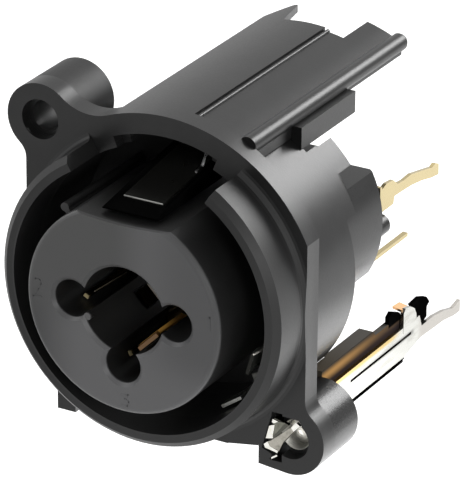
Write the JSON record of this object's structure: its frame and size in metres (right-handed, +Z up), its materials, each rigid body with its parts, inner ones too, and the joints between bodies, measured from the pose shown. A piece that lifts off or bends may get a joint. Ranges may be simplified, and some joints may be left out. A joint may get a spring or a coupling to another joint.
{
  "type": "combined circular-plug and jack panel socket",
  "caption": "Upright panel socket for a circular plug with pins or a jack plug, with diagonal fixing ears, an arched roof over a retention lever and rear board tails.",
  "frame": {"origin": "centre of the flange's front face, which seats behind the panel", "axes": "+X to the right seen from the front, +Y backwards through the panel, +Z up"},
  "size_m": [0.0274, 0.0343, 0.0271],
  "materials": {
    "housing_plastic": "moulded charcoal polyamide, fine matt texture",
    "insert_plastic": "moulded charcoal polyamide, slightly lighter",
    "block_plastic": "moulded charcoal polyamide, satin",
    "cover_plastic": "black polyamide plate",
    "gold_contact": "gold-plated bronze",
    "jack_spring_metal": "gold-plated spring bronze",
    "ground_steel": "tinned spring bronze",
    "ground_strip_metal": "tinned bronze strip",
    "carrier_plastic": "black polyamide",
    "lever_plastic": "black polyamide",
    "leaf_steel": "stainless steel leaf",
    "pin_steel": "ground steel pin",
    "spring_steel": "spring steel wire"
  },
  "bodies": {
    "socket": {"housing": "housing_plastic", "front_insert": "insert_plastic", "contact_block": "block_plastic", "rear_cover": "cover_plastic", "pin_contact_1": "gold_contact", "pin_contact_2": "gold_contact", "pin_contact_3": "gold_contact", "jack_sleeve_spring": "jack_spring_metal", "jack_ring_spring": "jack_spring_metal", "jack_tip_spring": "jack_spring_metal", "shell_ground_spring": "ground_steel", "ground_contact": "ground_strip_metal", "ground_carrier": "carrier_plastic", "lever_pivot_pin": "pin_steel"},
    "latch": {"retention_lever": "lever_plastic", "lever_leaf": "leaf_steel", "lever_return_spring": "spring_steel"}
  },
  "joints": [
    {"name": "latch_swing", "type": "hinge", "parent": "socket", "child": "latch", "pos_m": [0, 0.0132, 0.0096], "axis": [-1, 0, 0], "range_deg": [0, 6], "stiffness_Nm_per_rad": 0.002, "springref_deg": -5.73}
  ]
}
